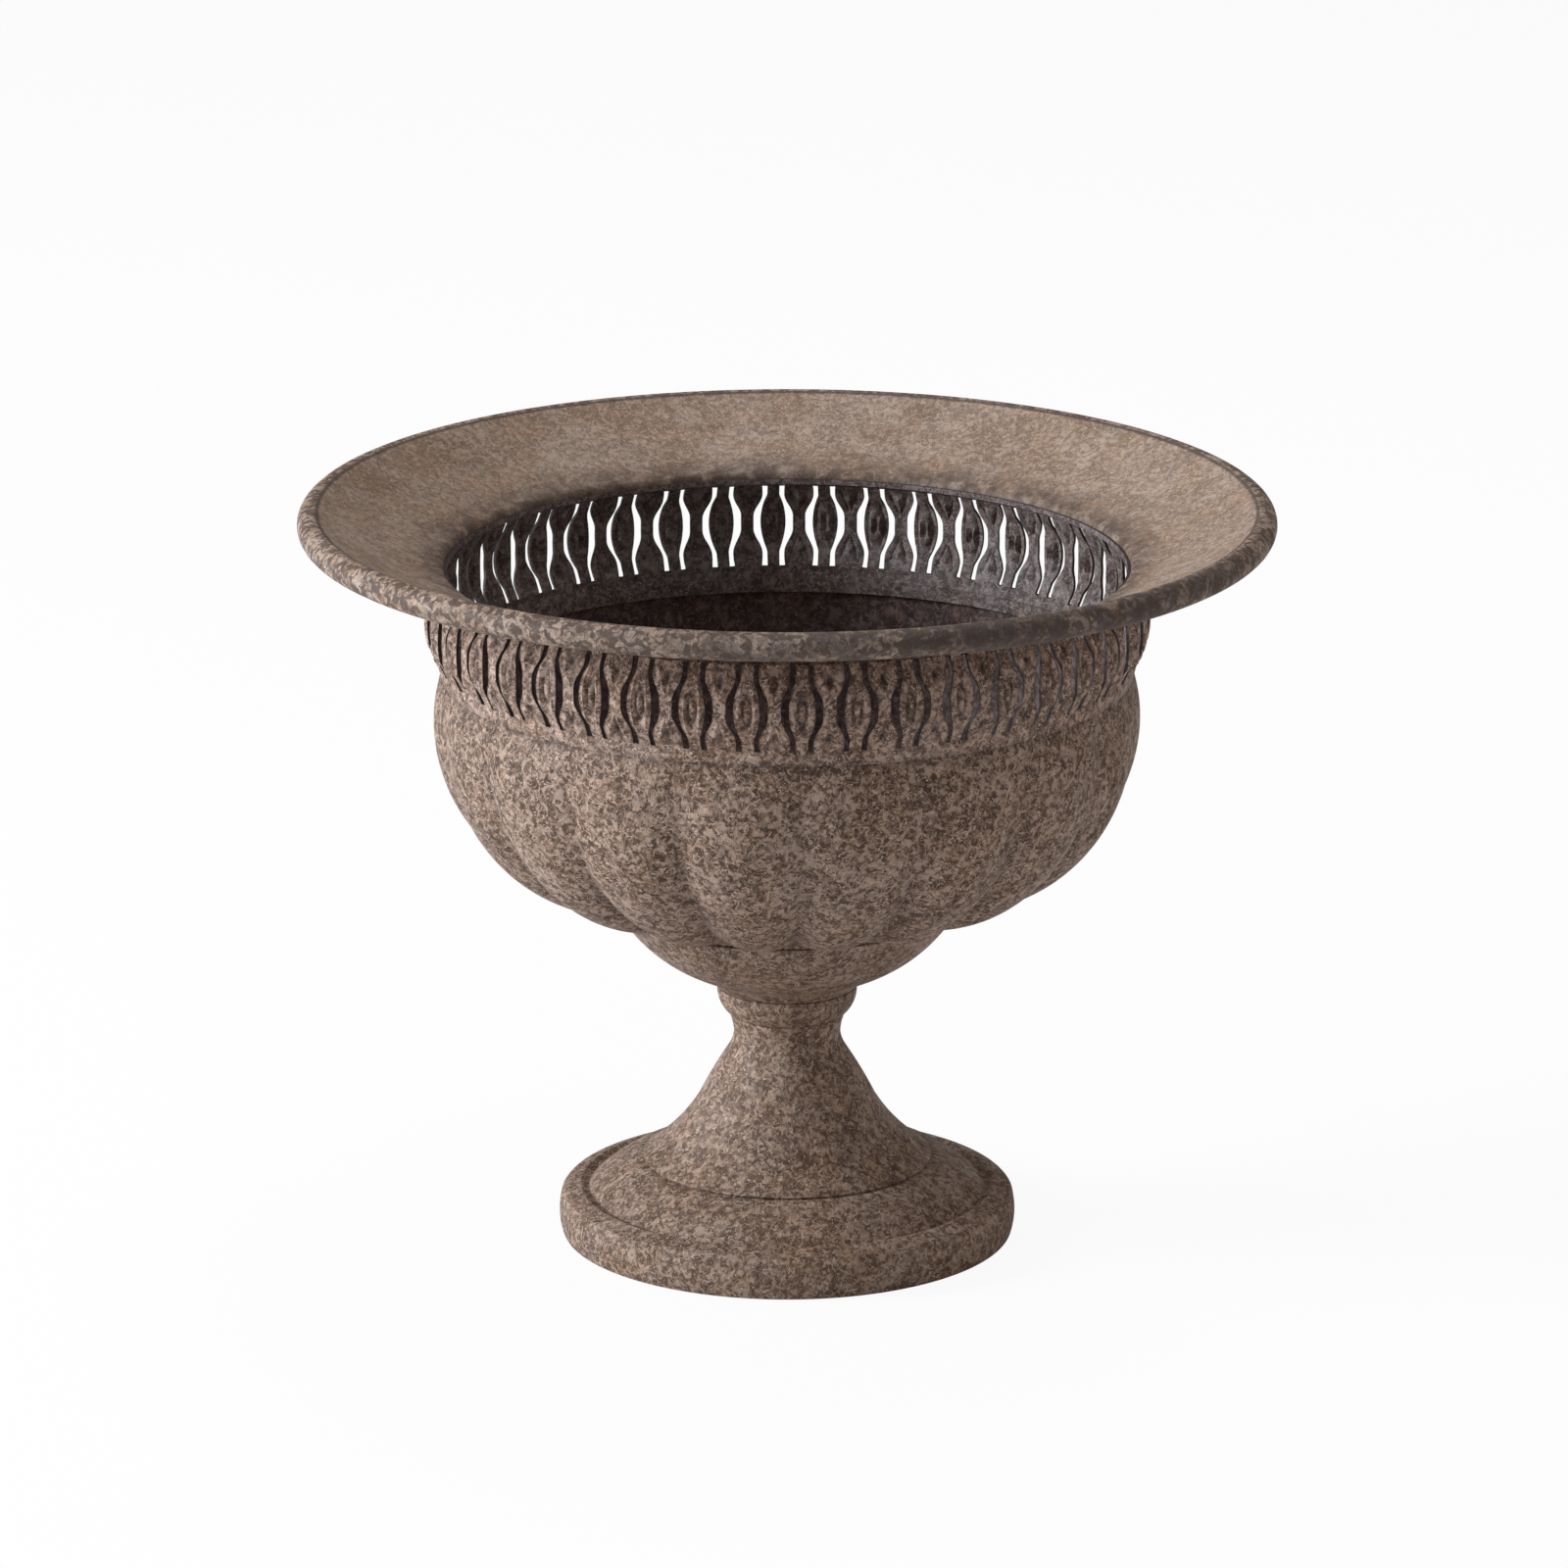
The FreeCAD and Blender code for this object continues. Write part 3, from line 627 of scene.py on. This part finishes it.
# ---- Pierced band -------------------------------------------------------------------------
# The wall above the waist is a strip rolled to a ring and punched with forty-two pairs of
# bowed slots. Each pair frames a raised almond with an eye; between two pairs stands an
# hourglass with a small pressed shield at its top and its foot.
motif_count = 42
motif_pitch = 2 * pi / motif_count
band_ref_r = 0.1475
half_width = motif_pitch / 2 * band_ref_r
margin_foot = waist_level + lap_gap
margin_height = 0.0062
margin_swell = 0.0016
slot_foot = margin_foot + margin_height
slot_reach = 0.018
slot_middle = slot_foot + slot_reach
slot_head = slot_middle + slot_reach
spigot_r = waist_r - wall_step
spigot_foot = waist_level - 0.0045
slot_end_r = waist_r + margin_swell
band_top = slot_head + 0.0026
band_top_r = slot_end_r - 0.0032
pressing_depth = 0.0013
almond_shares = (0, 0.16, 0.32, 0.48, 0.62, 0.78, 1)
lens_share = 0.62
post_columns = 6
slot_rows = 34


def slot_inner_edge(height):
    """The half-width of the almond, from the middle of the motif to the slot."""
    reach = slot_reach - 0.0057
    return 0.0026 + 0.0027 * max(0, 1 - (height / reach) ** 2)


def slot_outer_edge(height):
    """The distance from the middle of the motif to the far side of the slot."""
    waist, tip = 0.0084, 0.0047
    level = abs(height)
    taper = (tip - waist) * swell(level, 0.003, 0.0130)
    return waist + taper + 0.0003 * swell(level, 0.0150, slot_reach)


def motif_relief(aside, height):
    """How far the pressed pattern stands proud, in metres, and how much painted shade and dark wash
    it gets.
    """
    inner, outer = slot_inner_edge(height), slot_outer_edge(height)
    level = abs(height)
    proud, shade_and_wash_share = 0.0, 0.0
    if aside <= inner + 0.0001:
        pad = 1 - swell(level, 0.0085, 0.0135)
        lens = exp(-((aside / inner - lens_share) / 0.10) ** 2)
        eye = hypot(aside / 0.0015, height / 0.0050)
        moat = exp(-((eye - 1.15) / 0.40) ** 2)
        proud = pad * (0.0011 + 0.0005 * lens) - 0.0012 * moat
        # Painted shade in the eye's moat and along the slot, with less on the raised lens, which
        # reads as a painted highlight.
        shade_and_wash_share = 0.8 * moat + 0.7 * swell(aside / inner, 0.80, 1) - 0.4 * lens * pad
    elif aside >= outer - 0.0001:
        span = half_width - outer
        across = half_width - aside
        shield = 0.36 * (level - 0.0045)
        fade = swell(level, 0.0045, 0.007) * (1 - swell(level, 0.0155, 0.0172))
        ridge = exp(-((across - shield) / 0.0007) ** 2)
        dimple = exp(-((across / 0.0012) ** 2 + ((level - 0.0118) / 0.0018) ** 2))
        inside = 1 - swell(across, shield - 0.0012, shield)
        proud = (0.0010 * ridge - 0.0013 * dimple) * fade + 0.0004
        edge = swell(across / span, 0.8, 1)
        # Painted shade in the dimple, inside the shield and along the post's edge by the slot.
        shade_and_wash_share = max(fade * (0.9 * dimple + 0.35 * inside), 0.75 * edge)
    frame_fade = 1 - swell(level, 0.0175, 0.0190)
    return (proud - pressing_depth) * frame_fade, max(0, shade_and_wash_share) * frame_fade


band_arc = section_line([(slot_end_r, slot_foot), (slot_end_r, slot_head, -0.0050)], 0.0004)
band_rows = [(spigot_r, spigot_foot), (spigot_r, margin_foot), (waist_r, margin_foot)]
for step in range(1, 4):
    band_rows.append((waist_r + margin_swell * step / 4, margin_foot + margin_height * step / 4))
for step in range(slot_rows + 1):
    level = slot_foot + 2 * slot_reach * step / slot_rows
    band_rows.append((min(band_arc, key=lambda point: abs(point.y - level)).x, level))
band_rows.extend([(band_top_r, slot_head + 0.0012), (band_top_r, band_top)])
column_count = len(almond_shares) + post_columns
band_shell, band_shade_and_wash = flat_skin("band_shell", column_count, len(band_rows) - 1)
for vertex in band_shell.data.vertices:
    column = round((vertex.co.x + 1) / 2 * column_count)
    radius, level = band_rows[round((vertex.co.y + 1) / 2 * (len(band_rows) - 1))]
    height = level - slot_middle
    slot_height = min(slot_reach, max(-slot_reach, height))
    inner, outer = slot_inner_edge(slot_height), slot_outer_edge(slot_height)
    if column < len(almond_shares):
        aside = inner * almond_shares[column]
    else:
        aside = outer + (half_width - outer) * (column - len(almond_shares)) / post_columns
    proud, shade_and_wash_share = motif_relief(aside, height)
    angle = -pi / 2 + aside / band_ref_r
    seam = 0.45 * (1 - swell(level, margin_foot, margin_foot + 0.0034))
    band_shade_and_wash.data[vertex.index].value = max(shade_and_wash_share, seam)
    vertex.co = ((radius + proud) * cos(angle), (radius + proud) * sin(angle), level)

slot_column = len(almond_shares) - 1
for item in (*band_shell.data.vertices, *band_shell.data.edges):
    item.select = False
for face in band_shell.data.polygons:
    level_with_slots = slot_foot < face.center.z < slot_head
    face.select = level_with_slots and face.index % column_count == slot_column
bpy.ops.object.mode_set(mode="EDIT")
bpy.ops.mesh.select_mode(type="FACE")
bpy.ops.mesh.delete(type="FACE")
bpy.ops.mesh.select_mode(type="VERT")
bpy.ops.object.mode_set(mode="OBJECT")
mirror = band_shell.modifiers.new("other_half", "MIRROR")
mirror.use_axis = (True, False, False)
mirror.merge_threshold = 0.00001
apply_modifiers(band_shell)
repeat_round(motif_count)
front_face = min(band_shell.data.polygons, key=lambda face: face.center.y)
if front_face.normal.y > 0:
    flip_faces()

band_paint = stone_paint(
    "band_stone_paint", (0.60, 0.44, 0.355, 1), (0.290, 0.190, 0.146, 1), (0.075, 0.042, 0.029, 1),
    contrast=1.0)
shade_and_wash_hollows(band_paint, 0.9)
band_inside = stone_paint(
    "band_inside_paint", (0.32, 0.26, 0.25, 1), (0.165, 0.127, 0.120, 1),
    (0.060, 0.042, 0.040, 1), 0.003, 0.9, 0.8)
band_shell.data.materials.append(band_paint)
band_shell.data.materials.append(band_inside)
# Painted shade: the cut edges of the slots, and the band's top and foot edges, get a near-black
# paint.
band_shell.data.materials.append(stone_paint(
    "slot_edge_shade_paint", (0.075, 0.050, 0.043, 1), (0.034, 0.022, 0.019, 1), (0.015, 0.010, 0.009, 1),
    0.004, 0.8, 0.6))
band_wall = add_wall(band_shell)
band_wall.material_offset = 1
band_wall.material_offset_rim = 2
apply_modifiers(band_shell)
bpy.ops.object.shade_smooth_by_angle(angle=smooth_angle)
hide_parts("pierced_band")
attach(band_shell, "root")


# ---- Rim flange ---------------------------------------------------------------------------
# The wide rim is spun from a flat ring: a short collar outside the band, a tight bend at the
# throat, a long shallow dish, and an edge rolled under into a hollow bead.
lip_outer_r = 0.2007
lip_roll = 0.0059
lip_r = lip_roll - 0.0001
lip_middle_r = lip_outer_r - lip_roll
lip_middle = band_top + 0.0253 - lip_roll
throat_r = band_top_r + lap_gap
throat = band_top - 0.0004
throat_round = 0.0035
throat_turn = radians(72)
crease = radians(120)
lip_end = radians(165)

rim_line = section_line([
    (throat_r, throat - 0.0008),
    (throat_r, throat),
    (throat_r + throat_round * (1 - cos(throat_turn)), throat + throat_round * sin(throat_turn),
     throat_round * (1 - cos(throat_turn / 2))),
    (lip_middle_r + lip_r * cos(crease), lip_middle + lip_r * sin(crease), -0.0016),
    (lip_middle_r + lip_r * cos(lip_end), lip_middle + lip_r * sin(lip_end),
     lip_r * (1 - cos((2 * pi + crease - lip_end) / 2))),
], 0.0016)
rim_shell = spin_sheet("rim_shell", rim_line, 288, shown_left=True)
give_wall(rim_shell, 0.0003)
rim_paint = stone_paint(
    "rim_stone_paint", (0.53, 0.405, 0.325, 1), (0.345, 0.248, 0.192, 1), (0.165, 0.110, 0.080, 1),
    0.0024, 0.75, 0.8)
level_place = add_node(rim_paint, "ShaderNodeVectorMath", {
    0: place_on(rim_paint), 1: (1, 1, 0)}, operation="MULTIPLY").outputs[0]
reach = add_node(
    rim_paint, "ShaderNodeVectorMath", {0: level_place}, operation="LENGTH").outputs["Value"]
brushing = combine(
    rim_paint, "MULTIPLY", stretch(rim_paint, reach, throat_r + 0.002, throat_r + 0.017, 0.85, 0),
    stretch(rim_paint, noise(rim_paint, 0.007, 3, 0.5), 0.36, 0.60, 0.35, 1))
wash_and_shade(rim_paint, brushing, (0.070, 0.042, 0.031, 1))

crease_r = lip_middle_r + lip_r * cos(crease)
# Painted shade: a dark line along the crease where the dish meets the rolled bead.
off_crease = combine(
    rim_paint, "ABSOLUTE", combine(rim_paint, "SUBTRACT", reach, crease_r + 0.0006), 0.0)
wash_and_shade(rim_paint, stretch(rim_paint, off_crease, 0.0003, 0.0011, 0.7, 0), umber_wash_and_shade)

# A dark lilac patina with painted shade on the front right of the bead, the side away from the key
# light.
patina_and_shade_turn = radians(-62)
direction = add_node(
    rim_paint, "ShaderNodeVectorMath", {0: level_place}, operation="NORMALIZE").outputs[0]
facing = add_node(rim_paint, "ShaderNodeVectorMath", {
    0: direction, 1: (cos(patina_and_shade_turn), sin(patina_and_shade_turn), 0),
}, operation="DOT_PRODUCT").outputs["Value"]
patina_and_shade = combine(
    rim_paint, "MULTIPLY", stretch(rim_paint, facing, cos(radians(58)), cos(radians(14)), 0, 0.85),
    stretch(rim_paint, reach, crease_r, crease_r + 0.003, 0, 1))
patchiness = stretch(rim_paint, noise(rim_paint, 0.012, 4, 0.8), 0.36, 0.58, 0.25, 1)
wash_and_shade(rim_paint, combine(rim_paint, "MULTIPLY", patina_and_shade, patchiness), (0.062, 0.050, 0.055, 1))
crust = combine(
    rim_paint, "MULTIPLY", stretch(rim_paint, reach, crease_r - 0.001, crease_r + 0.002, 0, 0.9),
    stretch(rim_paint, noise(rim_paint, 0.0036, 3, 0.9), 0.46, 0.54, 0, 1))
wash_and_shade(rim_paint, crust, (0.085, 0.054, 0.041, 1))
rim_shell.data.materials.append(rim_paint)
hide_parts("rim_flange")
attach(rim_shell, "root")

deselect_all()
